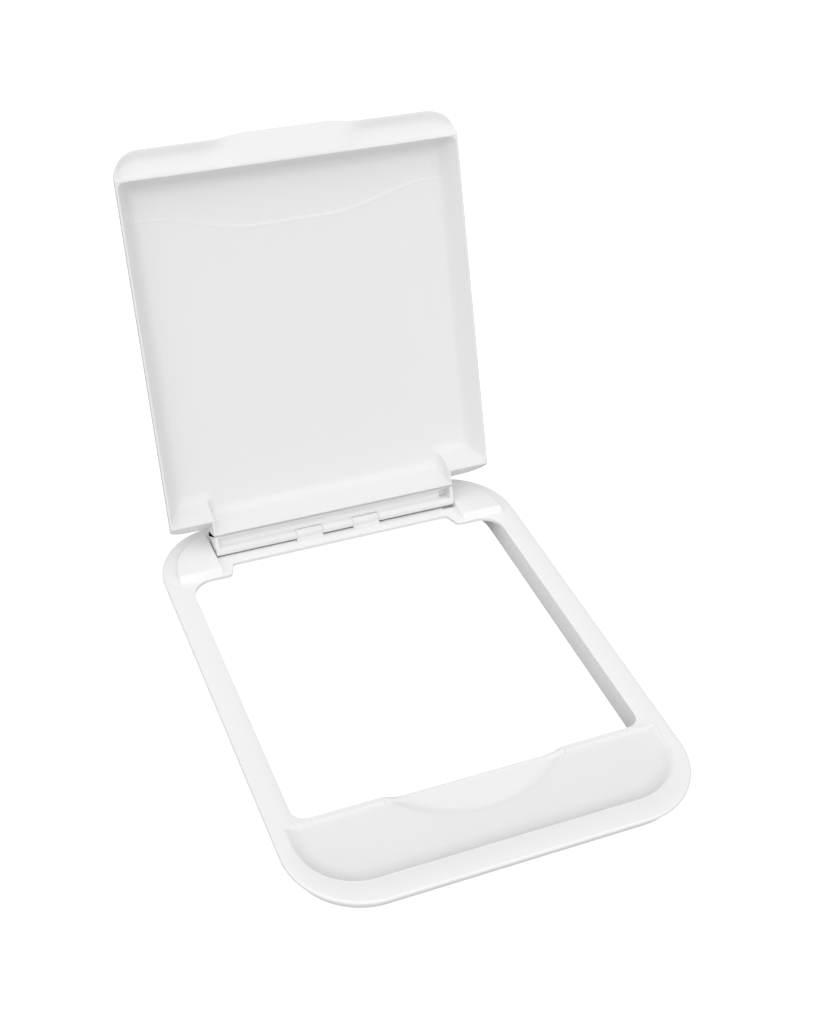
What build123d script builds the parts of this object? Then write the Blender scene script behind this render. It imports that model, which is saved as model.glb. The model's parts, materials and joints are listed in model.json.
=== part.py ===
"""Small moulded deck hatch: a flush frame with a finger tray, and a lid hinged at its rear.

The origin is the centre of the frame on the deck plane, which is the underside of the flange.
+Z is up, +Y points to the hinge and +X to the right. The lid is drawn open, resting on its stop.
"""

import os
from math import cos, radians, sin

from build123d import *

os.makedirs("parts", exist_ok=True)

# ---- Frame, millimetres ----
FRAME_W = 270.0
FRAME_L = 360.0
FRAME_R = 50.5
PLATE_T = 2.5
EDGE_ROUND = 1.6
RAIL_W = 17.0

COAMING_T = 2.5
COAMING_DEPTH = 18.5
OPENING_FRONT_Y = -107.0
FRONT_CORNER_R = 9.0
REAR_CORNER_R = 33.5

RIB_INSET = 4.5
RIB_T = 1.8
RIB_DEPTH = 8.0
CROSS_RIB_T = 1.6
CROSS_RIB_PITCH = 45.0
CROSS_RIB_MIDDLE_Y = 10.0
SIDE_RIBS = 6
REAR_RIBS = 4

# ---- Rear bar that carries the hinge ----
BAR_FRONT_Y = 134.5
BAR_HALF_W = 83.0
STEP_FRONT_Y = 123.0
STEP_HALF_W = 87.5
STEP_CORNER_R = 15.0
SMALL_CORNER_R = 3.0
GROOVE_FRONT_Y = 144.2
GROOVE_W = 6.0
GROOVE_DEPTH = 2.2
GROOVE_HALF_L = 93.0
GROOVE_WALL = 2.0
ROD_RECESS_L = 9.5
ROD_RECESS_W = 2.6
ROD_RECESS_DEPTH = 1.5

# ---- Finger tray ----
TRAY_HALF_W = 126.0
TRAY_FRONT_Y = -164.0
TRAY_CORNER_R = 40.0
TRAY_LAND = 0.6
TRAY_WALL = 2.0
TRAY_GLUE_LIP = 2.0
TRAY_REAR_DEPTH = 2.0
TRAY_FRONT_DEPTH = 6.6
TRAY_COVE = 13.0
SCOOP_HALF_W = 61.0
SCOOP_REACH = 27.5
SCOOP_DEPTH = 4.0
SCOOP_FRONT_DEPTH = 5.2
SCOOP_DRAFT = 12.0

# ---- Corner pads ----
PAD_R = 40.0
PAD_INNER_X = 93.3
PAD_FRONT_Y = 123.6
PAD_HEIGHT = 4.0
PAD_SLOPE = 4.4
PAD_ROUND = 1.0
PEG_R = 2.5
PEG_REACH = 2.0
PEG_X = 101.0
PEG_FRONT_Y = 136.0
PEG_REAR_Y = 155.0

# ---- Hinge ----
HINGE_Y = 146.2
HINGE_ABOVE_PLATE = 3.69
OPEN_ANGLE = 111.35
ROD_R = 2.0
ROD_HALF_L = 92.0
RUNNING_GAP = 0.05
BARREL_R = 3.4
CLIP_X = 22.0
CLIP_W = 20.0
CLIP_SIDE_GAP = 0.2
CLIP_SWEEP_GAP = 0.25
CLIP_TOE_Y = 141.0
CLIP_TOE_T = 0.4
CLIP_NECK = 1.0
CLIP_BROW = 2.4

# ---- Lid, in its own axes: s runs from hinge to nose, h from rim to outer face ----
AXIS_S = -2.0
AXIS_H = 3.49
LID_HALF_W = 122.9
LID_H = 20.0
SKIN_T = 2.5
SIDE_RIM_T = 1.5
NOSE_RIM_T = 0.8
LID_REAR_S = 0.9
NOTCH_S = 21.5
NOTCH_HALF_W = 92.5
NOTCH_LEAN = 0.53
REAR_RIM_S = 10.0
REAR_RIM_T = 2.0
FRONT_RIM_S = 265.8
NOSE_S = 285.0
NOSE_BULGE = 2.6
NOSE_BULGE_HALF_W = 56.0
NOSE_CORNER_R = 20.0
NOSE_RISE = 0.388
CROWN_ROUND = 17.0
REAR_EDGE_ROUND = 2.0
COVE_R = 15.0
GUTTER_S = 4.0
GUTTER_H = 6.8
TROUGH_R = 2.6
GUSSET_T = 2.5
POCKET_W = 7.0
POCKET_NEAR_S = 1.8
POCKET_FAR_S = 8.8
POCKET_H = 9.0
STEP_OVERLAP = 60.0

# ---- Derived places ----
PLATE_TOP = PLATE_T
HALF_W = FRAME_W / 2
HALF_L = FRAME_L / 2
OPENING_HALF_W = HALF_W - RAIL_W
COAMING_REAR_Y = HALF_L - RAIL_W
COAMING_BOTTOM = PLATE_TOP - COAMING_DEPTH
TRAY_REAR_Y = OPENING_FRONT_Y - COAMING_T
CORNER_X = HALF_W - FRAME_R
CORNER_Y = HALF_L - FRAME_R
HINGE_Z = PLATE_TOP + HINGE_ABOVE_PLATE
OPEN_SIN = sin(radians(OPEN_ANGLE))
OPEN_COS = cos(radians(OPEN_ANGLE))
CAVITY_DEPTH = LID_H - SKIN_T

# Unit vectors of the open lid: towards the nose, and from rim to outer face.
S_DIR = Vector(0, -OPEN_COS, OPEN_SIN)
H_DIR = Vector(0, OPEN_SIN, OPEN_COS)
HINGE_AXIS = Vector(0, HINGE_Y, HINGE_Z)
LID_ORIGIN = HINGE_AXIS - S_DIR * AXIS_S - H_DIR * AXIS_H
TO_NOSE = Axis(LID_ORIGIN, S_DIR)
OUTWARD = Axis(LID_ORIGIN, H_DIR)

# Rim plane of the lid: local x is across, local y is minus s, local z is h.
RIM_PLANE = Plane(origin=LID_ORIGIN, x_dir=(1, 0, 0), z_dir=H_DIR)


def section_plane(x):
    """Plane across the lid at x, whose local axes are s and h."""
    return Plane(origin=LID_ORIGIN + Vector(x, 0, 0), x_dir=S_DIR, z_dir=(-1, 0, 0))


def frame_section(x):
    """Plane across the frame at x, whose local axes are y and z."""
    return Plane(origin=(x, 0, 0), x_dir=(0, 1, 0), z_dir=(1, 0, 0))


def finish(builder, label):
    """Name a finished piece and write it out."""
    builder.part.label = label
    export_step(builder.part, f"parts/{label}.step")


# ---------------------------------------------------------------- outlines of the frame


def opening_outline():
    """Clear opening: straight front and sides, and the stepped front edge of the rear bar."""
    with BuildSketch() as outline:
        with BuildLine():
            FilletPolyline(
                (-OPENING_HALF_W, OPENING_FRONT_Y),
                (OPENING_HALF_W, OPENING_FRONT_Y),
                (OPENING_HALF_W, STEP_FRONT_Y),
                (STEP_HALF_W, STEP_FRONT_Y),
                (BAR_HALF_W, BAR_FRONT_Y),
                (-BAR_HALF_W, BAR_FRONT_Y),
                (-STEP_HALF_W, STEP_FRONT_Y),
                (-OPENING_HALF_W, STEP_FRONT_Y),
                radius=[FRONT_CORNER_R, FRONT_CORNER_R, STEP_CORNER_R, SMALL_CORNER_R,
                        SMALL_CORNER_R, SMALL_CORNER_R, SMALL_CORNER_R, STEP_CORNER_R],
                close=True,
            )
        make_face()
    return outline.sketch


def coaming_outline(grow):
    """Inner face of the coaming wall, grown outwards by grow."""
    half_w = OPENING_HALF_W + grow
    front = OPENING_FRONT_Y - grow
    rear = COAMING_REAR_Y + grow
    with BuildSketch() as outline:
        with BuildLine():
            FilletPolyline(
                (-half_w, front), (half_w, front), (half_w, rear), (-half_w, rear),
                radius=[FRONT_CORNER_R + grow, FRONT_CORNER_R + grow,
                        REAR_CORNER_R + grow, REAR_CORNER_R + grow],
                close=True,
            )
        make_face()
    return outline.sketch


def tray_outline(inset):
    """D shape of the finger tray, drawn in by inset at the front and sides."""
    half_w = TRAY_HALF_W - inset
    front = TRAY_FRONT_Y + inset
    rear = TRAY_REAR_Y
    corner = TRAY_CORNER_R - inset
    with BuildSketch() as outline:
        with BuildLine():
            FilletPolyline(
                (-half_w, rear), (-half_w, front), (half_w, front), (half_w, rear),
                radius=[0, corner, corner, 0], close=True,
            )
        make_face()
    return outline.sketch


def scoop_outline(chord_y, grow=0.0):
    """Segment of the finger scoop: a shallow arc on a chord along the opening's front edge."""
    half_w = SCOOP_HALF_W + grow
    with BuildSketch() as outline:
        with BuildLine():
            ThreePointArc(
                (-half_w, chord_y), (0, chord_y - SCOOP_REACH - grow), (half_w, chord_y)
            )
            Line((half_w, chord_y), (-half_w, chord_y))
        make_face()
    return outline.sketch


# ---------------------------------------------------------------- frame

with BuildPart() as frame:
    # Flange plate with a softened top edge.
    with BuildSketch():
        RectangleRounded(FRAME_W, FRAME_L, FRAME_R)
    extrude(amount=PLATE_T)
    fillet(frame.faces().sort_by(Axis.Z)[-1].outer_wire().edges(), EDGE_ROUND)

    # Solid ring for the coaming wall, and the thicker strip under the hinge groove.
    with BuildSketch(Plane.XY.offset(COAMING_BOTTOM)):
        add(coaming_outline(COAMING_T))
        add(coaming_outline(0), mode=Mode.SUBTRACT)
    extrude(amount=-COAMING_BOTTOM)
    with BuildSketch(Plane.XY.offset(-GROOVE_DEPTH)):
        with Locations((0, GROOVE_FRONT_Y + GROOVE_W / 2)):
            Rectangle(2 * (GROOVE_HALF_L + GROOVE_WALL), GROOVE_W + 2 * GROOVE_WALL)
    extrude(amount=GROOVE_DEPTH)

    # Locating rib that drops into the deck cut-out.
    with BuildSketch(Plane.XY.offset(-RIB_DEPTH)):
        RectangleRounded(FRAME_W - 2 * RIB_INSET, FRAME_L - 2 * RIB_INSET, FRAME_R - RIB_INSET)
        RectangleRounded(
            FRAME_W - 2 * (RIB_INSET + RIB_T), FRAME_L - 2 * (RIB_INSET + RIB_T),
            FRAME_R - RIB_INSET - RIB_T, mode=Mode.SUBTRACT,
        )
    extrude(amount=RIB_DEPTH)

    # Cross ribs between the coaming and the locating rib, along both sides and the rear.
    side_gap = RAIL_W - COAMING_T - RIB_INSET - RIB_T
    side_rib_x = OPENING_HALF_W + COAMING_T + side_gap / 2
    rear_rib_y = COAMING_REAR_Y + COAMING_T + side_gap / 2
    with BuildSketch(Plane.XY.offset(-RIB_DEPTH)):
        with Locations((-side_rib_x, CROSS_RIB_MIDDLE_Y), (side_rib_x, CROSS_RIB_MIDDLE_Y)):
            with GridLocations(1, CROSS_RIB_PITCH, 1, SIDE_RIBS):
                Rectangle(side_gap, CROSS_RIB_T)
        with Locations((0, rear_rib_y)):
            with GridLocations(CROSS_RIB_PITCH, 1, REAR_RIBS, 1):
                Rectangle(CROSS_RIB_T, side_gap)
    extrude(amount=RIB_DEPTH)

    # Openings: the clear opening, the tray seat, the scoop's dip, the hinge groove.
    with BuildSketch():
        add(opening_outline())
        add(tray_outline(0))
    extrude(amount=PLATE_T, mode=Mode.SUBTRACT)
    with BuildSketch(Plane.XY.offset(PLATE_TOP - SCOOP_DEPTH)):
        add(scoop_outline(OPENING_FRONT_Y))
    extrude(amount=SCOOP_DEPTH, mode=Mode.SUBTRACT)
    with BuildSketch(Plane.XY.offset(PLATE_TOP - GROOVE_DEPTH)):
        with Locations((0, GROOVE_FRONT_Y + GROOVE_W / 2)):
            Rectangle(2 * GROOVE_HALF_L, GROOVE_W)
    extrude(amount=GROOVE_DEPTH, mode=Mode.SUBTRACT)

    # Shallow recess in front of the groove's right end, for pushing the rod in and out.
    with BuildSketch(Plane.XY.offset(PLATE_TOP - ROD_RECESS_DEPTH)):
        with Locations((GROOVE_HALF_L, GROOVE_FRONT_Y)):
            Rectangle(ROD_RECESS_L, ROD_RECESS_W, align=(Align.MAX, Align.MAX))
    extrude(amount=ROD_RECESS_DEPTH, mode=Mode.SUBTRACT)

    # Holes for the pegs of the corner pads.
    with BuildSketch():
        with Locations((0, (PEG_FRONT_Y + PEG_REAR_Y) / 2)):
            with GridLocations(2 * PEG_X, PEG_REAR_Y - PEG_FRONT_Y, 2, 2):
                Circle(PEG_R)
    extrude(amount=PLATE_T, mode=Mode.SUBTRACT)

finish(frame, "frame")

# ---------------------------------------------------------------- finger tray

RAMP_RUN = TRAY_REAR_Y - TRAY_FRONT_Y - TRAY_COVE
RAMP_SLOPE = (TRAY_FRONT_DEPTH - TRAY_REAR_DEPTH) / RAMP_RUN
SCOOP_SLOPE = (SCOOP_FRONT_DEPTH - SCOOP_DEPTH) / SCOOP_REACH
SCOOP_PLANE = Plane(
    origin=(0, OPENING_FRONT_Y, PLATE_TOP - SCOOP_DEPTH),
    x_dir=(1, 0, 0), z_dir=(0, -SCOOP_SLOPE, 1),
)


def ramp_plane(below):
    """Sloping floor of the tray, lowered by below. Its local y follows the frame's y."""
    return Plane(
        origin=(0, TRAY_REAR_Y, PLATE_TOP - TRAY_REAR_DEPTH - below),
        x_dir=(1, 0, 0), z_dir=(0, -RAMP_SLOPE, 1),
    )


def ramp_outline(inset):
    """D shape of the tray floor, measured from the tray's rear edge."""
    half_w = TRAY_HALF_W - inset
    front = TRAY_FRONT_Y + inset - TRAY_REAR_Y
    corner = TRAY_CORNER_R - inset
    with BuildSketch() as outline:
        with BuildLine():
            FilletPolyline(
                (-half_w, 0), (-half_w, front), (half_w, front), (half_w, 0),
                radius=[0, corner, corner, 0], close=True,
            )
        make_face()
    return outline.sketch


with BuildPart() as tray_hollow:
    with BuildSketch(Plane.XY.offset(PLATE_TOP)):
        add(tray_outline(TRAY_LAND))
    with BuildSketch(ramp_plane(0)):
        add(ramp_outline(TRAY_LAND + TRAY_COVE))
    loft(ruled=True)

with BuildPart() as grip_tray:
    # Outer skin, and the lip that is glued under the flange.
    with BuildSketch(Plane.XY.offset(PLATE_TOP)):
        add(tray_outline(0))
    with BuildSketch(ramp_plane(TRAY_WALL)):
        add(ramp_outline(TRAY_COVE - TRAY_WALL))
    loft(ruled=True)
    with BuildSketch(Plane.XY.offset(-TRAY_WALL)):
        add(tray_outline(-TRAY_GLUE_LIP))
    extrude(amount=TRAY_WALL)

    # Thicker bed under the scoop, kept in front of the coaming wall.
    with BuildSketch(Plane.XY.offset(PLATE_TOP - SCOOP_FRONT_DEPTH - TRAY_WALL)):
        add(scoop_outline(OPENING_FRONT_Y, TRAY_WALL))
        with Locations((0, TRAY_REAR_Y)):
            Rectangle(FRAME_W, FRAME_L, align=(Align.CENTER, Align.MIN), mode=Mode.SUBTRACT)
    extrude(amount=SCOOP_DEPTH)

    add(tray_hollow.part, mode=Mode.SUBTRACT)
    with BuildSketch(SCOOP_PLANE):
        add(scoop_outline(0))
    extrude(amount=SCOOP_DEPTH, taper=-SCOOP_DRAFT, mode=Mode.SUBTRACT)

finish(grip_tray, "grip_tray")

# ---------------------------------------------------------------- corner pads


def corner_pad(side):
    """Quarter-round pad, side -1 or 1, with a sloping front and two pegs into the frame."""
    inner_x = side * PAD_INNER_X
    outer_x = side * (CORNER_X + PAD_R)
    inner_rear_y = CORNER_Y + (PAD_R**2 - (PAD_INNER_X - CORNER_X) ** 2) ** 0.5
    diagonal = PAD_R * sin(radians(45))
    with BuildPart() as pad:
        with BuildSketch(Plane.XY.offset(PLATE_TOP)):
            with BuildLine():
                Polyline(
                    (inner_x, inner_rear_y), (inner_x, PAD_FRONT_Y),
                    (outer_x, PAD_FRONT_Y), (outer_x, CORNER_Y),
                )
                ThreePointArc(
                    (outer_x, CORNER_Y),
                    (side * (CORNER_X + diagonal), CORNER_Y + diagonal),
                    (inner_x, inner_rear_y),
                )
            make_face()
        extrude(amount=PAD_HEIGHT)
        # The front slopes down to the frame.
        with BuildSketch(frame_section(0)):
            with BuildLine():
                Polyline(
                    (PAD_FRONT_Y, PLATE_TOP), (PAD_FRONT_Y + PAD_SLOPE, PLATE_TOP + PAD_HEIGHT),
                    (PAD_FRONT_Y, PLATE_TOP + PAD_HEIGHT), (PAD_FRONT_Y, PLATE_TOP), close=True,
                )
            make_face()
        extrude(amount=FRAME_W, both=True, mode=Mode.SUBTRACT)
        fillet(pad.faces().sort_by(Axis.Z)[-1].edges(), PAD_ROUND)
        with BuildSketch(Plane.XY.offset(-PEG_REACH)):
            with Locations((side * PEG_X, PEG_FRONT_Y), (side * PEG_X, PEG_REAR_Y)):
                Circle(PEG_R)
        extrude(amount=PEG_REACH + PLATE_T)
    return pad


finish(corner_pad(-1), "corner_pad_left")
finish(corner_pad(1), "corner_pad_right")

# ---------------------------------------------------------------- hinge rod and clips

with BuildPart() as hinge_rod:
    with BuildSketch(Plane.YZ.offset(-ROD_HALF_L)):
        with Locations((HINGE_Y, HINGE_Z)):
            Circle(ROD_R)
    extrude(amount=2 * ROD_HALF_L)

finish(hinge_rod, "hinge_rod")


def hinge_clip(side):
    """Knuckle over the rod, with a foot in the groove and a toe that slopes to the bar."""
    with BuildPart() as clip:
        with BuildSketch(frame_section(side * CLIP_X - CLIP_W / 2)):
            with Locations((HINGE_Y, HINGE_Z)):
                Circle(BARREL_R)
            with BuildLine():
                Polyline(
                    (CLIP_TOE_Y, PLATE_TOP), (GROOVE_FRONT_Y, PLATE_TOP),
                    (GROOVE_FRONT_Y, PLATE_TOP - GROOVE_DEPTH),
                    (GROOVE_FRONT_Y + GROOVE_W, PLATE_TOP - GROOVE_DEPTH),
                    (GROOVE_FRONT_Y + GROOVE_W, PLATE_TOP), (HINGE_Y + CLIP_NECK, PLATE_TOP),
                    (HINGE_Y + CLIP_NECK, HINGE_Z), (HINGE_Y - CLIP_BROW, HINGE_Z),
                    (CLIP_TOE_Y, PLATE_TOP + CLIP_TOE_T), close=True,
                )
            make_face()
            with Locations((HINGE_Y, HINGE_Z)):
                Circle(ROD_R, mode=Mode.SUBTRACT)
        extrude(amount=CLIP_W)
    return clip


finish(hinge_clip(-1), "hinge_clip_left")
finish(hinge_clip(1), "hinge_clip_right")

# ---------------------------------------------------------------- lid shell


def lid_outline():
    """Plan of the lid from its rear edge to the bulged nose."""
    bulge_y = -(NOSE_S + NOSE_BULGE)
    with BuildSketch() as outline:
        with BuildLine():
            Polyline((LID_HALF_W, -NOSE_S), (LID_HALF_W, -LID_REAR_S),
                     (-LID_HALF_W, -LID_REAR_S), (-LID_HALF_W, -NOSE_S),
                     (-NOSE_BULGE_HALF_W, -NOSE_S))
            ThreePointArc(
                (-NOSE_BULGE_HALF_W, -NOSE_S), (0, bulge_y), (NOSE_BULGE_HALF_W, -NOSE_S)
            )
            Line((NOSE_BULGE_HALF_W, -NOSE_S), (LID_HALF_W, -NOSE_S))
        make_face()
        sides = outline.edges().filter_by(Axis.Y).vertices()
        fillet(sides.group_by(Axis.Y)[0], NOSE_CORNER_R)
    return outline.sketch


def cavity_box(half_w, rear_s, front_s):
    """Hollow with rounded floor edges, open at the rim plane."""
    with BuildPart() as box:
        with BuildSketch(RIM_PLANE):
            with Locations((0, -(rear_s + front_s) / 2)):
                Rectangle(2 * half_w, front_s - rear_s)
        extrude(amount=CAVITY_DEPTH)
        floor = box.faces().sort_by(OUTWARD)[-1]
        fillet(floor.edges(), COVE_R)
    return box.part


with BuildPart() as lid_shell:
    with BuildSketch(RIM_PLANE):
        add(lid_outline())
    extrude(amount=LID_H)
    top = lid_shell.faces().sort_by(OUTWARD)[-1]
    fillet(top.edges().sort_by(TO_NOSE)[1:], CROWN_ROUND)
    top = lid_shell.faces().sort_by(OUTWARD)[-1]
    fillet(top.edges().sort_by(TO_NOSE)[:1], REAR_EDGE_ROUND)

    # Rear corners lean back over the corner pads.
    for side in (-1, 1):
        with BuildSketch(section_plane(side * (NOTCH_HALF_W + LID_HALF_W) / 2)):
            with BuildLine():
                Polyline(
                    (NOTCH_S + NOTCH_LEAN, -1), (-LID_H, -1), (-LID_H, LID_H + 1),
                    (NOTCH_S - NOTCH_LEAN * (LID_H + 1), LID_H + 1), close=True,
                )
            make_face()
        extrude(amount=(LID_HALF_W - NOTCH_HALF_W) / 2 + 0.001, both=True, mode=Mode.SUBTRACT)

    # Seat of the hinge strip under the rear edge of the skin.
    with BuildSketch(section_plane(0)):
        with Locations((REAR_RIM_S, -1)):
            Rectangle(2 * REAR_RIM_S, CAVITY_DEPTH + 1, align=(Align.MAX, Align.MIN))
    extrude(amount=NOTCH_HALF_W, both=True, mode=Mode.SUBTRACT)

    # Underside of the nose rises from the front rim.
    with BuildSketch(section_plane(0)):
        with BuildLine():
            Polyline(
                (FRONT_RIM_S, 0), (FRONT_RIM_S + 2 * LID_H, 2 * LID_H * NOSE_RISE),
                (FRONT_RIM_S + 2 * LID_H, -1), (FRONT_RIM_S, -1), close=True,
            )
        make_face()
    extrude(amount=FRAME_W, both=True, mode=Mode.SUBTRACT)

    add(
        cavity_box(LID_HALF_W - SIDE_RIM_T, NOTCH_S + SIDE_RIM_T, FRONT_RIM_S - NOSE_RIM_T),
        mode=Mode.SUBTRACT,
    )
    add(
        cavity_box(NOTCH_HALF_W - SIDE_RIM_T, REAR_RIM_S + REAR_RIM_T, STEP_OVERLAP),
        mode=Mode.SUBTRACT,
    )

finish(lid_shell, "lid_shell")

# ---------------------------------------------------------------- hinge strip

HEEL_S = AXIS_S - BARREL_R * OPEN_SIN
HEEL_H = AXIS_H - BARREL_R * OPEN_COS
HEEL_RUN = (CAVITY_DEPTH - HEEL_H) / OPEN_SIN
HEEL_TOP_S = HEEL_S - HEEL_RUN * OPEN_COS

# The trough between the rim and the barrel: a slanted face that turns into the barrel by an arc.
RIM = Vector(REAR_RIM_S, 0)
PIN = Vector(AXIS_S, AXIS_H)
SLANT = Vector(GUTTER_S - REAR_RIM_S, GUTTER_H).normalized()
OUT_OF_SLANT = Vector(-SLANT.Y, SLANT.X)
ARC_RUN = ((BARREL_R + TROUGH_R) ** 2 - ((PIN - RIM).dot(OUT_OF_SLANT) - TROUGH_R) ** 2) ** 0.5
ARC_START = RIM + SLANT * ((PIN - RIM).dot(SLANT) - ARC_RUN)
ARC_CENTRE = ARC_START + OUT_OF_SLANT * TROUGH_R
ARC_END = ARC_CENTRE + (PIN - ARC_CENTRE) * (TROUGH_R / (BARREL_R + TROUGH_R))

with BuildPart() as hinge_strip:
    # Closed section from the rim to the barrel, with a flat heel that rests on the rear bar.
    with BuildSketch(section_plane(0)):
        with BuildLine():
            Line(RIM, ARC_START)
            TangentArc(ARC_START, ARC_END, tangent=SLANT)
            Polyline(
                ARC_END, PIN, (HEEL_S, HEEL_H), (HEEL_TOP_S, CAVITY_DEPTH),
                (REAR_RIM_S, CAVITY_DEPTH), RIM,
            )
        make_face()
        with Locations((AXIS_S, AXIS_H)):
            Circle(BARREL_R)
    extrude(amount=NOTCH_HALF_W, both=True)

    # Gussets close the gutter at both ends.
    for side in (-1, 1):
        with BuildSketch(section_plane(side * (NOTCH_HALF_W - GUSSET_T / 2))):
            with BuildLine():
                Polyline(
                    (REAR_RIM_S, 0), (GUTTER_S, GUTTER_H), (AXIS_S, AXIS_H),
                    (AXIS_S, AXIS_H - BARREL_R), close=True,
                )
            make_face()
        extrude(amount=GUSSET_T / 2, both=True)

    # Pocket beside the right gusset, at the end where the rod is pushed in.
    with BuildSketch(section_plane(NOTCH_HALF_W - GUSSET_T - POCKET_W / 2)):
        with Locations((POCKET_NEAR_S, -1)):
            Rectangle(POCKET_FAR_S - POCKET_NEAR_S, POCKET_H + 1, align=(Align.MIN, Align.MIN))
    extrude(amount=POCKET_W / 2, both=True, mode=Mode.SUBTRACT)

    # Bore for the rod, and a window round each clip.
    with BuildSketch(section_plane(0)):
        with Locations((AXIS_S, AXIS_H)):
            Circle(ROD_R + RUNNING_GAP)
    extrude(amount=NOTCH_HALF_W, both=True, mode=Mode.SUBTRACT)
    for side in (-1, 1):
        with BuildSketch(section_plane(side * CLIP_X)):
            with Locations((AXIS_S, AXIS_H)):
                Circle(BARREL_R + CLIP_SWEEP_GAP)
        extrude(amount=CLIP_W / 2 + CLIP_SIDE_GAP, both=True, mode=Mode.SUBTRACT)

finish(hinge_strip, "hinge_strip")
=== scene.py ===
"""The looks of the deck hatch: finer lid and finger tray, plastics, light and camera."""

import json
import math

import bmesh
import bpy
import numpy as np
from mathutils import Matrix, Vector


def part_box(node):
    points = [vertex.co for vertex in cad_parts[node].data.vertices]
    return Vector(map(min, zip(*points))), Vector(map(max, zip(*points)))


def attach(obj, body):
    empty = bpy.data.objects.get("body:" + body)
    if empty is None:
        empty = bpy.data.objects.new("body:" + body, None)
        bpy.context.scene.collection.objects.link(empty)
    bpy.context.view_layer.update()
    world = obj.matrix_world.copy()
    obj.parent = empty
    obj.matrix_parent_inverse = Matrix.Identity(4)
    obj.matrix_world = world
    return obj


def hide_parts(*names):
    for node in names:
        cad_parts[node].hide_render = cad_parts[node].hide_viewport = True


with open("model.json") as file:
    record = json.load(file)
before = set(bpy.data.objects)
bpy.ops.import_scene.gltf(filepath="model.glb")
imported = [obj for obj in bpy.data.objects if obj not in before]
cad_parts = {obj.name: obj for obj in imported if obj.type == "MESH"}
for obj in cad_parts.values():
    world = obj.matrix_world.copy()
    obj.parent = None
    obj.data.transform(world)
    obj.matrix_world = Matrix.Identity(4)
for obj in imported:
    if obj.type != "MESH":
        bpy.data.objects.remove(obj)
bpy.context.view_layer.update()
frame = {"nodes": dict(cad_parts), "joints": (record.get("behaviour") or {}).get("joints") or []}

MM = 0.001
GLUE_LIP = 2.0 * MM

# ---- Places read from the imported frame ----
HINGE = frame["joints"][0]
AXIS_POINT = np.array(HINGE["pos_m"])
OPEN_ANGLE = math.radians(HINGE["range_deg"][1])
FLOOR_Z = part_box("frame")[0].z
PLATE_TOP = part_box("grip_tray")[1].z
LID_HALF_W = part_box("lid_shell")[1].x
STRIP_HALF_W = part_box("hinge_strip")[1].x
TRAY_FRONT_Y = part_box("grip_tray")[0].y + GLUE_LIP
TRAY_REAR_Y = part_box("grip_tray")[1].y

# ---- Lid, in its own axes: s runs from hinge to nose, h from rim to outer face ----
AXIS_S = -2.0 * MM
AXIS_H = 3.49 * MM
LID_H = 20.0 * MM
SKIN_T = 2.5 * MM
CAVITY_DEPTH = LID_H - SKIN_T
CROWN_R = 17.0 * MM
EDGE_R = 0.35 * MM
DRAFT = 0.25 * MM

# Rear edge, seat of the hinge strip, and notches over the corner pads.
REAR_S = 0.9 * MM
REAR_ROUND = 2.0 * MM
SEAT_S = 9.95 * MM
SEAT_DRAFT = 0.1 * MM
NOTCH_S = 21.5 * MM
NOTCH_LEAN = 0.53
LEAN_FADE = 40.0 * MM

# Rims, and the ramps and coves that rise from them into the hollow.
SIDE_RIM_T = 1.5 * MM
NOSE_RIM_T = 0.8 * MM
REAR_RIM_T = 2.05 * MM
SIDE_RAMP_W = 6.5 * MM
SIDE_RAMP_SLOPE = 1.9
FRONT_RAMP_W = 4.6 * MM
FRONT_RAMP_SLOPE = 2.6
REAR_RAMP_W = 8.0 * MM
REAR_RAMP_SLOPE = 1.6
REAR_REACH = 18.0 * MM
RAMP_REACH = 24.0 * MM
STEP_COVE_R = 6.0 * MM
STEP_OVERLAP = 60.0 * MM
CORNER_BLEND = 3.0

# Nose that overhangs the front rim.
FRONT_RIM_S = 265.8 * MM
NOSE_S = 285.0 * MM
NOSE_BULGE = 2.6 * MM
BULGE_FLAT = 28.0 * MM
BULGE_END = 54.0 * MM
NOSE_CORNER_R = 20.0 * MM
NOSE_RISE = 0.388
NOSE_COVE_START = 38.0 * MM
NOSE_COVE_FULL = 56.0 * MM
NOSE_HOLLOW_END = 0.55
NOSE_DROOP = 0.26
NOSE_LEAST = 0.8 * MM
LIP_T = 2 * EDGE_R
HOLLOW_FADE = 6.0 * MM

# Wavy crease across the panel; the bead's place and spread are shares of the crease's width.
CREASE_STEP = 0.9 * MM
CREASE_WIDTH = 1.5 * MM
CREASE_BEAD = 0.12 * MM
BEAD_PLACE = 0.9
BEAD_SPREAD = 0.35
CREASE_LOW_S = 222.8 * MM
CREASE_HIGH_S = 236.9 * MM
CREASE_MIDDLE_S = (CREASE_LOW_S + CREASE_HIGH_S) / 2
CREASE_FLAT_X = 28.0 * MM
CREASE_END_X = 105.0 * MM

# ---- Finger tray ----
TRAY_HALF_W = 126.0 * MM
TRAY_CORNER_R = 40.0 * MM
TRAY_LAND = 0.6 * MM
TRAY_OVERLAP = 0.45 * MM
TRAY_PROUD = 0.03 * MM
TRAY_WALL = 2.0 * MM
TRAY_REAR_DEPTH = 2.0 * MM
TRAY_SLOPE = 0.111
TRAY_DISH_R = 16.0 * MM
TRAY_COVE_REACH = 17.0 * MM
REAR_COVE_W = 1.6 * MM
OPENING_FRONT_Y = -107.05 * MM
SCOOP_HALF_W = 61.0 * MM
SCOOP_REACH = 27.5 * MM
SCOOP_DEPTH = 4.0 * MM
SCOOP_SLOPE = 0.044
SCOOP_DISH_R = 16.0 * MM
DIM_FLOOR_FADE = 3.0 * MM

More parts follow.
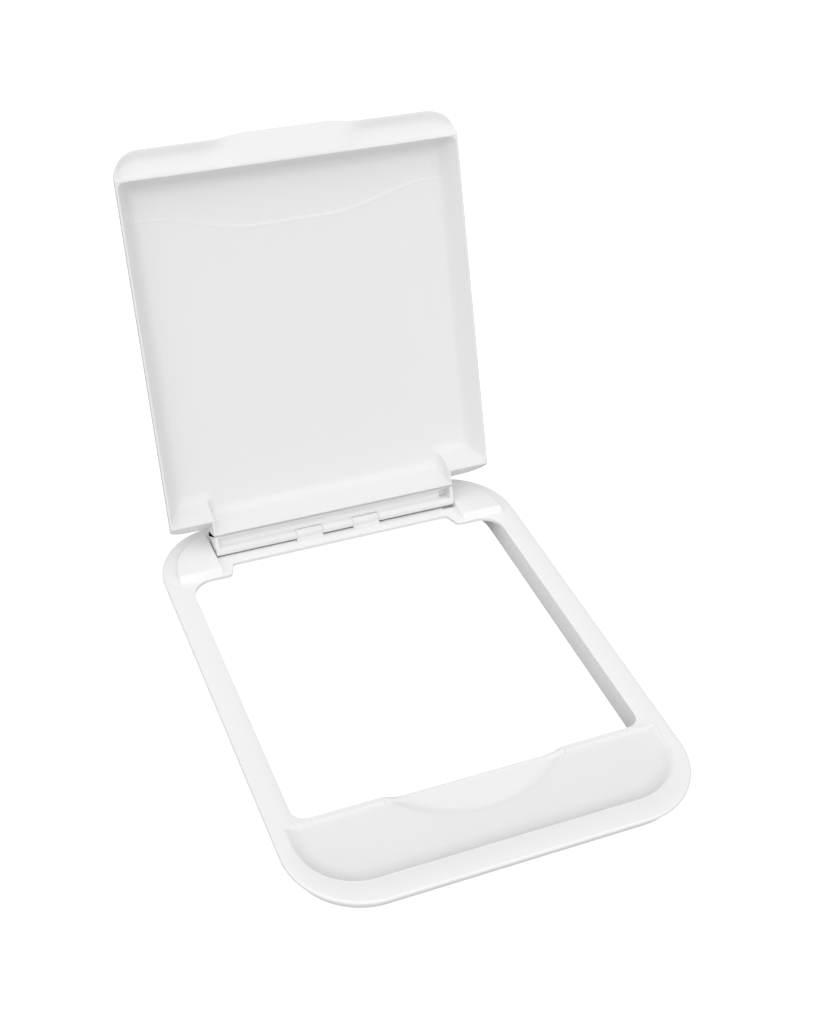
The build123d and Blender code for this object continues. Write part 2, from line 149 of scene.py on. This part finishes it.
# ---- Mesh ----
LEAST_GAP = 0.08 * MM
TWIN_SHARE = 0.3
EDGE_STEPS = (-1.0, -0.6, -0.25, 0.0, 0.25, 0.6, 1.0)
OUTER_STEPS = (0.0, 0.25, 0.6, 1.0)
FRONT_STEPS = (0.0, 0.5, 1.0)
COLUMN_PITCH = 4.0 * MM
ROW_PITCH = 5.0 * MM
TRAY_COLUMN_PITCH = 2.0 * MM
TRAY_ROW_PITCH = 1.5 * MM
TRAY_FRONT_PITCH = 2.0 * MM
SCOOP_SIDE_STEP = 1.5 * LEAST_GAP
CREASE_REACH = (-2.0, 1.0)
CREASE_LINES = 19
CREASE_BAND = 3.2 * MM
BEND_START_S = 185.0 * MM
FRONT_KEEP = 17.0 * MM
RIM_BAND = 12.0 * MM
NOSE_STEPS = 18
WELD_GAP = 0.01 * MM
BEVEL_FROM = math.radians(35.0)

# ---- Directions and origin of the open lid ----
S_DIR = np.array([0.0, -math.cos(OPEN_ANGLE), math.sin(OPEN_ANGLE)])
H_DIR = np.array([0.0, math.sin(OPEN_ANGLE), math.cos(OPEN_ANGLE)])
LID_ORIGIN = AXIS_POINT - S_DIR * AXIS_S - H_DIR * AXIS_H


# ---------------------------------------------------------------- shared shapes


def ease(t):
    """Smooth step from 0 to 1."""
    t = np.clip(t, 0.0, 1.0)
    return t * t * (3.0 - 2.0 * t)


def quarter(t):
    """Quarter circle that leaves 0 upright and arrives level at 1."""
    t = np.clip(t, 0.0, 1.0)
    return np.sqrt(1.0 - (1.0 - t) ** 2)


def dish(q, depth, radius):
    """Depth at distance q inside the edge of a dish, whose round wall meets a floor at depth."""
    width = np.sqrt(np.maximum(2.0 * radius * depth - depth**2, 0.0))
    left = np.clip(width - q, 0.0, width)
    return depth - radius + np.sqrt(radius**2 - left**2)


def fine_lines(low, high, pitch, *spots):
    """Grid lines from low to high, a pitch apart, with those in spots added, near twins dropped."""
    keep = sorted(set(round(v, 6) for spot in spots for v in spot if low <= v <= high))
    near = TWIN_SHARE * pitch
    lines = [v for v in np.arange(low, high, pitch) if all(abs(v - k) > near for k in keep)]
    lines = sorted(set(round(v, 6) for v in [*lines, *keep, low, high]))
    thin = [lines[0]]
    for v in lines[1:]:
        if v - thin[-1] > LEAST_GAP:
            thin.append(v)
    thin[-1] = lines[-1]
    return np.array(thin)


def arc_spots(edge, reach, inward, steps):
    """Grid lines for a quarter circle, from an edge inward (1 or -1), closest at the edge."""
    turns = np.linspace(0.0, math.pi / 2, steps)
    return [edge + inward * reach * (1.0 - math.cos(a)) for a in turns]


def edge_spots(edge):
    """Grid lines for the small rounding on both sides of an edge."""
    return [edge + k * EDGE_R for k in EDGE_STEPS]


def mirrored(half):
    """Grid lines on both sides of the middle, from those on one side."""
    return np.concatenate([-half[:0:-1], half])


def shell_faces(rows, cols, kept, points, steps):
    """Faces of two stacked grids and the wall round their kept cells, whose points are added."""
    under = rows * cols
    faces = []
    edges = {}
    for i, j in zip(*np.nonzero(kept), strict=True):
        ring = [i * cols + j, (i + 1) * cols + j, (i + 1) * cols + j + 1, i * cols + j + 1]
        faces.append(ring)
        faces.append([under + v for v in reversed(ring)])
        for a, b in zip(ring, ring[1:] + ring[:1], strict=True):
            edges[frozenset((a, b))] = None if frozenset((a, b)) in edges else (a, b)
    columns = {}

    def wall_column(v):
        if v not in columns:
            low, high = np.array(points[under + v]), np.array(points[v])
            middle = []
            for k in range(1, steps):
                middle.append(len(points))
                points.append(tuple(low + (high - low) * k / steps))
            columns[v] = [under + v, *middle, v]
        return columns[v]

    for edge in edges.values():
        if edge:
            left, right = wall_column(edge[0]), wall_column(edge[1])
            for k in range(steps):
                faces.append([left[k], right[k], right[k + 1], left[k + 1]])
    return faces


def closed_shell(name, top, bottom, kept, steps=3):
    """Closed mesh between two grids of points with the same cells, of which some are kept."""
    points = [tuple(p) for p in top.reshape(-1, 3)] + [tuple(p) for p in bottom.reshape(-1, 3)]
    faces = shell_faces(*top.shape[:2], kept, points, steps)
    used = sorted({v for face in faces for v in face})
    renumber = {v: k for k, v in enumerate(used)}
    mesh = bpy.data.meshes.new(name)
    mesh.from_pydata([points[v] for v in used], [], [[renumber[v] for v in face] for face in faces])
    form = bmesh.new()
    form.from_mesh(mesh)
    bmesh.ops.recalc_face_normals(form, faces=form.faces)
    form.to_mesh(mesh)
    form.free()
    mesh.shade_smooth()
    obj = bpy.data.objects.new(name, mesh)
    bpy.context.scene.collection.objects.link(obj)
    weighted = obj.modifiers.new("weighted_normals", "WEIGHTED_NORMAL")
    weighted.weight = 50
    weighted.keep_sharp = True
    return obj


# ---------------------------------------------------------------- outside of the lid


def nose_line(x):
    """Outline of the nose, s at each x: straight sides, bulged middle, round corners."""
    reach = NOSE_S + NOSE_BULGE * (1.0 - ease((np.abs(x) - BULGE_FLAT) / (BULGE_END - BULGE_FLAT)))
    past = np.clip(np.abs(x) - (LID_HALF_W - NOSE_CORNER_R), 0.0, NOSE_CORNER_R)
    drop = NOSE_CORNER_R - np.sqrt(NOSE_CORNER_R**2 - past**2)
    return reach - drop


def lip_height(x):
    """Height of the nose's underside at its lip."""
    return NOSE_RISE * np.maximum(nose_line(x) - FRONT_RIM_S, 0.0)


def lip_line(x):
    """Where the nose's underside meets the crown, s at each x."""
    above = np.maximum(lip_height(x) + LIP_T - (LID_H - CROWN_R), 0.0)
    return nose_line(x) - (CROWN_R - np.sqrt(CROWN_R**2 - above**2))


def crown_height(x, s):
    """Outer face of the lid: flat, with a round crown along the sides and the nose."""
    side = LID_HALF_W - np.abs(x)
    ahead = nose_line(x) - s
    corner_x = np.abs(x) - (LID_HALF_W - NOSE_CORNER_R)
    corner_s = s - (NOSE_S - NOSE_CORNER_R)
    corner = NOSE_CORNER_R - np.hypot(corner_x, corner_s)
    inside = np.where((corner_x > 0) & (corner_s > 0), corner, np.minimum(side, ahead))
    crown = LID_H - CROWN_R + CROWN_R * quarter(inside / CROWN_R)
    rear = LID_H - REAR_ROUND + REAR_ROUND * quarter((s - REAR_S) / REAR_ROUND)
    return np.minimum(crown, rear)


# ---------------------------------------------------------------- inside of the lid


def cove_share(q, radius):
    """Share of the hollow's depth at distance q from an upright wall with a round foot."""
    straight = CAVITY_DEPTH - radius
    cove = straight + radius * quarter((q - DRAFT) / radius)
    height = np.where(q < DRAFT, straight * np.clip(q / DRAFT, 0.0, 1.0), cove)
    return height / CAVITY_DEPTH


def ramp_share(q, width, slope):
    """Share of the hollow's depth at distance q from a ramp that rounds out into the panel."""
    turn = math.atan(slope)
    radius = (CAVITY_DEPTH - width * slope) / (1.0 - math.cos(turn))
    run = radius * math.sin(turn)
    left = np.clip(width + run - q, 0.0, run)
    arc = CAVITY_DEPTH - radius + np.sqrt(radius**2 - left**2)
    return np.where(q < width, slope * np.maximum(q, 0.0), arc) / CAVITY_DEPTH


def meet(*shares):
    """Hollow between several walls, blended round where they meet."""
    missing = sum((1.0 - share) ** CORNER_BLEND for share in shares)
    return np.clip(1.0 - missing ** (1.0 / CORNER_BLEND), 0.0, 1.0)


def crease_line(x):
    """Wavy crease across the panel, s at each x."""
    t = (np.abs(x) - CREASE_FLAT_X) / (CREASE_END_X - CREASE_FLAT_X)
    return CREASE_LOW_S + (CREASE_HIGH_S - CREASE_LOW_S) * ease(t)


def crease_height(x, s):
    """Ledge along the crease: a low bead, then a step down into the panel."""
    past = (s - crease_line(x)) / CREASE_WIDTH
    bead = np.exp(-(((past + BEAD_PLACE) / BEAD_SPREAD) ** 2))
    return CREASE_STEP * ease(past + 0.5) - CREASE_BEAD * bead


def hollow_height(x, s):
    """Underside of the rims, and the inner face of the lid between them."""
    wide = np.abs(x)
    side, front = LID_HALF_W - SIDE_RIM_T - wide, FRONT_RIM_S - NOSE_RIM_T - s
    notch = s - NOTCH_S - SIDE_RIM_T
    main = meet(
        ramp_share(side, SIDE_RAMP_W, SIDE_RAMP_SLOPE),
        ramp_share(front, FRONT_RAMP_W, FRONT_RAMP_SLOPE),
        ramp_share(notch, REAR_RAMP_W, REAR_RAMP_SLOPE),
    )
    step, rear = STRIP_HALF_W - SIDE_RIM_T - wide, s - SEAT_S - REAR_RIM_T
    rear_share = ramp_share(rear, REAR_RAMP_W, REAR_RAMP_SLOPE)
    behind = meet(cove_share(step, STEP_COVE_R), rear_share)
    behind = np.where(s < STEP_OVERLAP, behind, 0.0)
    share = np.maximum(main, behind)
    inside = np.maximum(np.minimum(np.minimum(side, front), notch), np.minimum(step, rear))
    rounding = EDGE_R * (1.0 - np.sqrt(1.0 - np.clip(inside / EDGE_R + 1.0, 0.0, 1.0) ** 2))
    height = EDGE_R + (CAVITY_DEPTH - EDGE_R) * share + crease_height(x, s) * share**2
    return np.where(inside <= 0.0, rounding, height)


def outer_rounding(d):
    """Lift of a rim near its outer edge, at distance d from it."""
    t = np.clip(1.0 - d / EDGE_R, 0.0, 1.0)
    return EDGE_R * (1.0 - np.sqrt(1.0 - t * t))


def nose_height(x, along_nose):
    """Underside of the nose, hollowed at its sides; along_nose is 0 at the rim and 1 at the lip."""
    wide = np.abs(x)
    hollow = ease((wide - NOSE_COVE_START) / (NOSE_COVE_FULL - NOSE_COVE_START))
    hollow = hollow * ease((LID_HALF_W - wide) / HOLLOW_FADE)
    droop = NOSE_DROOP * ease((along_nose - NOSE_HOLLOW_END) / (1.0 - NOSE_HOLLOW_END))
    shape = (1.0 - hollow) * along_nose + hollow * (quarter(along_nose) - droop)
    length = lip_line(x) - FRONT_RIM_S
    lift = outer_rounding((1.0 - along_nose) * np.maximum(length, EDGE_R))
    return lip_height(x) * shape + lift


def underside_height(x, s, along_nose):
    """Whole underside of the lid: rims, hollow, nose, and the flat seat of the hinge strip."""
    wide = np.abs(x)
    past_notch = np.where(wide > STRIP_HALF_W, s - NOTCH_S, STRIP_HALF_W - wide)
    near_corner = np.hypot(STRIP_HALF_W - wide, s - NOTCH_S)
    past_notch = np.where((wide <= STRIP_HALF_W) & (s > NOTCH_S), near_corner, past_notch)
    edge = outer_rounding(np.minimum(LID_HALF_W - wide, past_notch))
    height = np.maximum(hollow_height(x, s), edge)
    nose = np.maximum(height, nose_height(x, along_nose))
    height = np.where(along_nose > 0, nose, height)
    seat = (s < SEAT_S) & (wide <= STRIP_HALF_W + LEAST_GAP)
    return np.where(seat, CAVITY_DEPTH, height)


# ---------------------------------------------------------------- lid mesh


def lid_point(x, s, h):
    """Points of the open lid in the object's frame, from its own coordinates."""
    return (
        LID_ORIGIN
        + x[..., None] * np.array([1.0, 0.0, 0.0])
        + s[..., None] * S_DIR
        + h[..., None] * H_DIR
    )


def lid_columns():
    """Grid lines across the lid, dense along its edges, mirrored about the middle."""
    step_wall, side_wall = STRIP_HALF_W - SIDE_RIM_T, LID_HALF_W - SIDE_RIM_T
    half = fine_lines(
        0.0, LID_HALF_W, COLUMN_PITCH,
        edge_spots(step_wall), [step_wall - DRAFT],
        arc_spots(step_wall - DRAFT, STEP_COVE_R, -1, 7), edge_spots(STRIP_HALF_W),
        [LID_HALF_W - k * EDGE_R for k in OUTER_STEPS],
        edge_spots(side_wall), arc_spots(side_wall, RAMP_REACH, -1, 20),
        arc_spots(LID_HALF_W, NOSE_CORNER_R, -1, 12),
    )
    return mirrored(half)


def lid_rows():
    """Grid lines from the rear edge to the front rim."""
    rear_wall = SEAT_S + REAR_RIM_T
    notch_wall = NOTCH_S + SIDE_RIM_T
    front_wall = FRONT_RIM_S - NOSE_RIM_T
    crease = np.linspace(*CREASE_REACH, CREASE_LINES) * CREASE_WIDTH
    return fine_lines(
        REAR_S, FRONT_RIM_S, ROW_PITCH,
        arc_spots(REAR_S, REAR_ROUND, 1, 5), [SEAT_S - SEAT_DRAFT, SEAT_S],
        edge_spots(rear_wall), arc_spots(rear_wall, REAR_REACH, 1, 14),
        edge_spots(NOTCH_S), edge_spots(notch_wall),
        arc_spots(notch_wall, REAR_REACH, 1, 14), [CREASE_MIDDLE_S + v for v in crease],
        edge_spots(front_wall), arc_spots(front_wall, RAMP_REACH, -1, 20),
        [FRONT_RIM_S - k * EDGE_R for k in FRONT_STEPS],
    )


def bent_rows(x, s):
    """Rows that bend with the crease, and fall back to straight before the front ramp."""
    front_cove = FRONT_RIM_S - NOSE_RIM_T - FRONT_KEEP
    rising = ease((s - BEND_START_S) / (CREASE_MIDDLE_S - CREASE_BAND - BEND_START_S))
    falling = ease((front_cove - s) / (front_cove - CREASE_MIDDLE_S - CREASE_BAND))
    return s + (crease_line(x) - CREASE_MIDDLE_S) * rising * falling


def leant_rows(xs, s_under, s_over):
    """Rows of the outer face, moved back so that the rear corners lean over the pads."""
    lean = NOTCH_LEAN * np.minimum(crown_height(xs, np.full_like(xs, NOTCH_S)), LID_H)[:, None]
    fade = 1.0 - ease((s_under - NOTCH_S) / LEAN_FADE)
    behind = s_under < NOTCH_S - LEAST_GAP / 2
    share = (s_under - REAR_S) / (NOTCH_S - REAR_S)
    return np.where(behind, REAR_S + share * (NOTCH_S - lean - REAR_S), s_over - lean * fade)


def make_lid():
    """Lid shell: crowned outside, hollow inside, notched over the corner pads."""
    xs, rows = lid_columns(), lid_rows()
    x, s = np.meshgrid(xs, rows, indexing="ij")

    # Rows up to the front rim; the last ones draw back from the nose's round corners.
    start = np.minimum(FRONT_RIM_S, lip_line(xs) - NOSE_LEAST)[:, None]
    drawn = np.clip((s - FRONT_RIM_S + RIM_BAND) / RIM_BAND, 0.0, 1.0)
    panel = bent_rows(x, s) - (FRONT_RIM_S - start) * drawn

    # Rows from the rim to the lip, on the underside and on the outer face.
    turns = np.linspace(0.0, math.pi / 2, NOSE_STEPS + 1)[1:]
    nose_share = 0.5 - 0.5 * np.cos(2 * turns)
    span = lip_line(xs)[:, None] - start
    s_under = np.concatenate([panel, start + span * nose_share], axis=1)
    s_over = np.concatenate([panel, start + span * np.sin(turns)], axis=1)
    s_over = leant_rows(xs, s_under, s_over)

    x = np.broadcast_to(xs[:, None], s_under.shape)
    along_nose = np.concatenate([np.zeros(len(rows)), nose_share]) * np.ones_like(s_under)
    under = underside_height(x, s_under, along_nose)
    over = crown_height(x, s_over)
    over[:, -1] = np.maximum(over[:, -1], np.minimum(lip_height(xs) + LIP_T, LID_H))

    # The notches are where cells behind the notch line and beside the strip are left out.
    middles = (np.abs(xs[1:]) + np.abs(xs[:-1])) / 2
    notch_row = int(np.argmin(np.abs(rows - NOTCH_S)))
    kept = np.ones((len(xs) - 1, s_under.shape[1] - 1), bool)
    kept[middles > STRIP_HALF_W, :notch_row] = False
    return closed_shell(
        "lid_shell_fine", lid_point(x, s_over, over), lid_point(x, s_under, under), kept
    )


# ---------------------------------------------------------------- finger tray


def tray_front(x):
    """Front outline of the tray, y at each x."""
    past = np.clip(np.abs(x) - (TRAY_HALF_W - TRAY_CORNER_R), 0.0, TRAY_CORNER_R)
    return TRAY_FRONT_Y + TRAY_CORNER_R - np.sqrt(TRAY_CORNER_R**2 - past**2)


def tray_inside(x, y):
    """Distance inside the tray's round front and side edge."""
    corner_x = np.abs(x) - (TRAY_HALF_W - TRAY_CORNER_R)
    corner_y = TRAY_FRONT_Y + TRAY_CORNER_R - y
    corner = TRAY_CORNER_R - np.hypot(corner_x, corner_y)
    straight = np.minimum(TRAY_HALF_W - np.abs(x), y - TRAY_FRONT_Y)
    return np.where((corner_x > 0) & (corner_y > 0), corner, straight)


def scoop_inside(x, y):
    """Distance inside the scoop's arc."""
    radius = (SCOOP_HALF_W**2 + SCOOP_REACH**2) / (2 * SCOOP_REACH)
    centre_y = OPENING_FRONT_Y - SCOOP_REACH + radius
    return radius - np.hypot(x, y - centre_y)


def tray_depth(x, y):
    """Depth of the tray below the flange: a floor with coves, and the scoop in it."""
    behind = np.maximum(TRAY_REAR_Y - y, 0.0)
    floor = (TRAY_REAR_DEPTH + TRAY_SLOPE * behind) * ease(behind / REAR_COVE_W)
    floor = dish(tray_inside(x, y) - TRAY_LAND, np.maximum(floor, LEAST_GAP), TRAY_DISH_R)
    scoop = SCOOP_DEPTH + SCOOP_SLOPE * (OPENING_FRONT_Y - y)
    step = np.maximum(scoop - floor, 0.0)
    inside = scoop_inside(x, y)
    return np.where(inside > 0.0, floor + dish(inside, step, SCOOP_DISH_R), floor)


def tray_columns(edge):
    """Grid lines across the tray, dense along its edges, mirrored about the middle."""
    half = fine_lines(
        0.0, edge, TRAY_COLUMN_PITCH, [TRAY_HALF_W - TRAY_LAND, TRAY_HALF_W],
        arc_spots(TRAY_HALF_W - TRAY_LAND, TRAY_COVE_REACH, -1, 14),
        arc_spots(edge, TRAY_CORNER_R, -1, 22), [SCOOP_HALF_W, SCOOP_HALF_W + SCOOP_SIDE_STEP],
    )
    return mirrored(half)


def tray_rows():
    """Shares of the way from the tray's front to its rear, dense at both ends."""
    near_front = fine_lines(
        0.0, TRAY_COVE_REACH + TRAY_LAND + TRAY_OVERLAP, TRAY_FRONT_PITCH,
        [TRAY_OVERLAP, TRAY_OVERLAP + TRAY_LAND],
        arc_spots(TRAY_OVERLAP + TRAY_LAND, TRAY_COVE_REACH, 1, 14),
    )
    length = TRAY_REAR_Y - TRAY_FRONT_Y + TRAY_OVERLAP
    near_rear = [length - v for v in arc_spots(0.0, REAR_COVE_W, 1, 7)]
    return fine_lines(0.0, length, TRAY_ROW_PITCH, near_front, near_rear) / length


def make_tray():
    """Finger tray with coved edges and a scoop that runs out over the coaming."""
    edge = TRAY_HALF_W + TRAY_OVERLAP
    xs, shares = tray_columns(edge), tray_rows()
    front = tray_front(xs * TRAY_HALF_W / edge) - TRAY_OVERLAP
    rear = np.where(np.abs(xs) <= SCOOP_HALF_W + LEAST_GAP / 2, OPENING_FRONT_Y, TRAY_REAR_Y)
    y = front[:, None] + (rear - front)[:, None] * shares
    x = np.broadcast_to(xs[:, None], y.shape)
    top = PLATE_TOP + TRAY_PROUD - tray_depth(x, y)
    bottom = np.minimum(top - TRAY_WALL, -TRAY_WALL)
    kept = np.ones((len(xs) - 1, len(shares) - 1), bool)
    obj = closed_shell(
        "grip_tray_fine", np.stack([x, y, top], axis=-1), np.stack([x, y, bottom], axis=-1), kept
    )
    mark_dim_matt_floor(obj)
    return obj


def mark_dim_matt_floor(tray):
    """Write how far each point belongs to the darker, more matt floor, 0 on the land and in the
    scoop.
    """
    count = len(tray.data.vertices)
    places = np.empty(3 * count)
    tray.data.vertices.foreach_get("co", places)
    x, y = places.reshape(-1, 3)[:, 0], places.reshape(-1, 3)[:, 1]
    share = ease((tray_inside(x, y) - TRAY_LAND) / DIM_FLOOR_FADE)
    share = share * (1.0 - ease(scoop_inside(x, y) / DIM_FLOOR_FADE))
    values = tray.data.attributes.new("dim_matt_floor", "FLOAT", "POINT")
    values.data.foreach_set("value", share)


# ---------------------------------------------------------------- materials


def new_material(name):
    """New material, its node tree and its shader."""
    material = bpy.data.materials.new(name)
    material.use_nodes = True
    return material, material.node_tree, material.node_tree.nodes["Principled BSDF"]


def add_noise(tree, place, scale, detail):
    """Noise over the places that a socket gives."""
    noise = tree.nodes.new("ShaderNodeTexNoise")
    noise.inputs["Scale"].default_value = scale
    noise.inputs["Detail"].default_value = detail
    tree.links.new(place, noise.inputs["Vector"])
    return noise.outputs["Fac"]


def add_range(tree, share, low, high):
    """Value that runs from low to high as a socket's share runs from 0 to 1."""
    spread = tree.nodes.new("ShaderNodeMapRange")
    spread.inputs["To Min"].default_value = low
    spread.inputs["To Max"].default_value = high
    tree.links.new(share, spread.inputs["Value"])
    return spread.outputs["Result"]


def add_dimmer(tree, factor):
    """Node that scales a colour by a socket's factor."""
    dimmer = tree.nodes.new("ShaderNodeVectorMath")
    dimmer.operation = "SCALE"
    tree.links.new(factor, dimmer.inputs["Scale"])
    return dimmer


def add_bump(tree, shader, height, strength, distance):
    """Fine relief on the shader, from a socket's height."""
    bump = tree.nodes.new("ShaderNodeBump")
    bump.inputs["Strength"].default_value = strength
    bump.inputs["Distance"].default_value = distance
    tree.links.new(height, bump.inputs["Height"])
    tree.links.new(bump.outputs["Normal"], shader.inputs["Normal"])


def moulded_plastic(name, color, roughness, grain=0.02):
    """White moulded plastic: faint flow mottling, spark-eroded grain, slightly uneven gloss."""
    material, tree, shader = new_material(name)
    shader.inputs["IOR"].default_value = 1.49
    place = tree.nodes.new("ShaderNodeTexCoord").outputs["Object"]

    flow = add_noise(tree, place, scale=9.0, detail=3.0)
    shade = add_dimmer(tree, add_range(tree, flow, 0.985, 1.0))
    shade.inputs[0].default_value = color
    tree.links.new(shade.outputs["Vector"], shader.inputs["Base Color"])

    uneven = add_noise(tree, place, scale=60.0, detail=5.0)
    gloss = add_range(tree, uneven, roughness - 0.05, roughness + 0.07)
    tree.links.new(gloss, shader.inputs["Roughness"])

    fine = add_noise(tree, place, scale=1400.0, detail=2.0)
    add_bump(tree, shader, fine, strength=grain, distance=0.3 * MM)
    return material


def dim_and_roughen_floor(material, darker, rougher):
    """Let the tray's floor be darker and more matt than the rest of the piece."""
    tree = material.node_tree
    shader = tree.nodes["Principled BSDF"]
    # Share of each point that belongs to the floor drawn darker and more matt.
    mark = tree.nodes.new("ShaderNodeAttribute")
    mark.attribute_name = "dim_matt_floor"

    color = shader.inputs["Base Color"].links[0].from_socket
    dimmed = add_dimmer(tree, add_range(tree, mark.outputs["Fac"], 1.0, darker))
    tree.links.new(color, dimmed.inputs[0])
    tree.links.new(dimmed.outputs["Vector"], shader.inputs["Base Color"])

    gloss = shader.inputs["Roughness"].links[0].from_socket
    matt = tree.nodes.new("ShaderNodeMath")
    matt.operation = "MULTIPLY_ADD"
    matt.inputs[1].default_value = rougher
    tree.links.new(mark.outputs["Fac"], matt.inputs[0])
    tree.links.new(gloss, matt.inputs[2])
    tree.links.new(matt.outputs["Value"], shader.inputs["Roughness"])


def ground_steel(name):
    """Ground stainless steel: fine rings around the rod."""
    material, tree, shader = new_material(name)
    shader.inputs["Metallic"].default_value = 1.0
    shader.inputs["Base Color"].default_value = (0.66, 0.66, 0.67, 1.0)
    place = tree.nodes.new("ShaderNodeTexCoord").outputs["Object"]
    stretch = tree.nodes.new("ShaderNodeMapping")
    stretch.inputs["Scale"].default_value = (2600.0, 40.0, 40.0)
    tree.links.new(place, stretch.inputs["Vector"])
    rings = add_noise(tree, stretch.outputs["Vector"], scale=1.0, detail=3.0)
    tree.links.new(add_range(tree, rings, 0.2, 0.42), shader.inputs["Roughness"])
    add_bump(tree, shader, rings, strength=0.1, distance=0.1 * MM)
    return material


def paint(obj, material):
    """Give a piece one material."""
    obj.data.materials.clear()
    obj.data.materials.append(material)


def soften(node, width):
    """Round the edges of a CAD node that is carried over, without changing its mesh."""
    obj = frame["nodes"][node]
    obj.data.shade_smooth()
    weld = obj.modifiers.new("weld", "WELD")
    weld.merge_threshold = WELD_GAP
    bevel = obj.modifiers.new("edge_round", "BEVEL")
    bevel.width = width
    bevel.segments = 3
    bevel.limit_method = "ANGLE"
    bevel.angle_limit = BEVEL_FROM
    bevel.harden_normals = True
    return obj


# ---------------------------------------------------------------- the hatch

lid_plastic = moulded_plastic("lid_white", (0.85, 0.85, 0.85), 0.38)
frame_plastic = moulded_plastic("frame_white", (0.92, 0.92, 0.92), 0.36)
tray_plastic = moulded_plastic("tray_white", (0.9, 0.9, 0.9), 0.42, grain=0.04)
# The tray's floor is drawn darker (0.93 of its colour) and more matt than its land and scoop.
dim_and_roughen_floor(tray_plastic, darker=0.93, rougher=0.15)
pad_plastic = moulded_plastic("pad_white", (0.93, 0.93, 0.93), 0.42, grain=0.04)
clip_plastic = moulded_plastic("clip_white", (0.84, 0.84, 0.84), 0.48, grain=0.05)
rod_steel = ground_steel("rod_steel")

lid = make_lid()
paint(lid, lid_plastic)
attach(lid, "lid")
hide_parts("lid_shell")

tray = make_tray()
paint(tray, tray_plastic)
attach(tray, "base")
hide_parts("grip_tray")

for node, width, material in (
    ("frame", 0.4 * MM, frame_plastic),
    ("corner_pad_left", 0.3 * MM, pad_plastic),
    ("corner_pad_right", 0.3 * MM, pad_plastic),
    ("hinge_clip_left", 0.15 * MM, clip_plastic),
    ("hinge_clip_right", 0.15 * MM, clip_plastic),
    ("hinge_strip", 0.2 * MM, lid_plastic),
    ("hinge_rod", 0.3 * MM, rod_steel),
):
    paint(soften(node, width), material)

# ---------------------------------------------------------------- floor, light and camera


def make_floor(color, glow):
    """Plain pale floor that the hatch's coaming stands on; its glow lights only itself."""
    material, _, shader = new_material("floor_white")
    shader.inputs["Base Color"].default_value = (color, color, color, 1.0)
    shader.inputs["Roughness"].default_value = 0.9
    shader.inputs["Specular IOR Level"].default_value = 0.0
    shader.inputs["Emission Color"].default_value = (1.0, 1.0, 1.0, 1.0)
    shader.inputs["Emission Strength"].default_value = glow
    bpy.ops.mesh.primitive_plane_add(size=12.0, location=(0.0, 0.0, FLOOR_Z))
    floor = bpy.context.object
    floor.name = "floor"
    paint(floor, material)
    receivers = bpy.data.collections.new("floor_glow_receivers")
    receivers.objects.link(floor)
    floor.light_linking.receiver_collection = receivers


def make_world(base, swing, least, toward):
    """White surroundings, brightest in one direction and dimmest opposite it."""
    world = bpy.data.worlds.new("studio")
    world.use_nodes = True
    nodes, links = world.node_tree.nodes, world.node_tree.links
    background = nodes["Background"]
    background.inputs["Color"].default_value = (1.0, 1.0, 1.0, 1.0)
    place = nodes.new("ShaderNodeTexCoord")
    facing = nodes.new("ShaderNodeVectorMath")
    facing.operation = "DOT_PRODUCT"
    facing.inputs[1].default_value = Vector(toward).normalized()
    links.new(place.outputs["Generated"], facing.inputs[0])
    level = nodes.new("ShaderNodeMath")
    level.operation = "MULTIPLY_ADD"
    level.inputs[1].default_value = swing
    level.inputs[2].default_value = base
    links.new(facing.outputs["Value"], level.inputs[0])
    lowest = nodes.new("ShaderNodeMath")
    lowest.operation = "MAXIMUM"
    lowest.inputs[1].default_value = least
    links.new(level.outputs["Value"], lowest.inputs[0])
    links.new(lowest.outputs["Value"], background.inputs["Strength"])
    bpy.context.scene.world = world


def make_camera(place, target, roll, lens):
    """Camera at place, looking at target, rolled by roll degrees."""
    forward = (Vector(target) - Vector(place)).normalized()
    right = forward.cross(Vector((0.0, 0.0, 1.0))).normalized()
    up = right.cross(forward)
    turn = math.radians(roll)
    tilted_right = right * math.cos(turn) + up * math.sin(turn)
    tilted_up = up * math.cos(turn) - right * math.sin(turn)
    matrix = Matrix((tilted_right, tilted_up, -forward)).transposed().to_4x4()
    matrix.translation = Vector(place)
    data = bpy.data.cameras.new("camera")
    data.lens = lens
    data.sensor_width = 36.0
    data.clip_start = 0.01
    camera = bpy.data.objects.new("camera", data)
    camera.matrix_world = matrix
    bpy.context.scene.collection.objects.link(camera)
    bpy.context.scene.camera = camera


make_floor(color=0.48, glow=0.95)
make_world(base=0.53, swing=0.88, least=0.2, toward=(-0.27, -0.63, 0.73))
make_camera(
    place=(-0.3077, -0.69606, 0.73119), target=(0.02246, 0.04785, 0.08652), roll=2.87, lens=54.79
)
bpy.context.scene.view_settings.view_transform = "Standard"
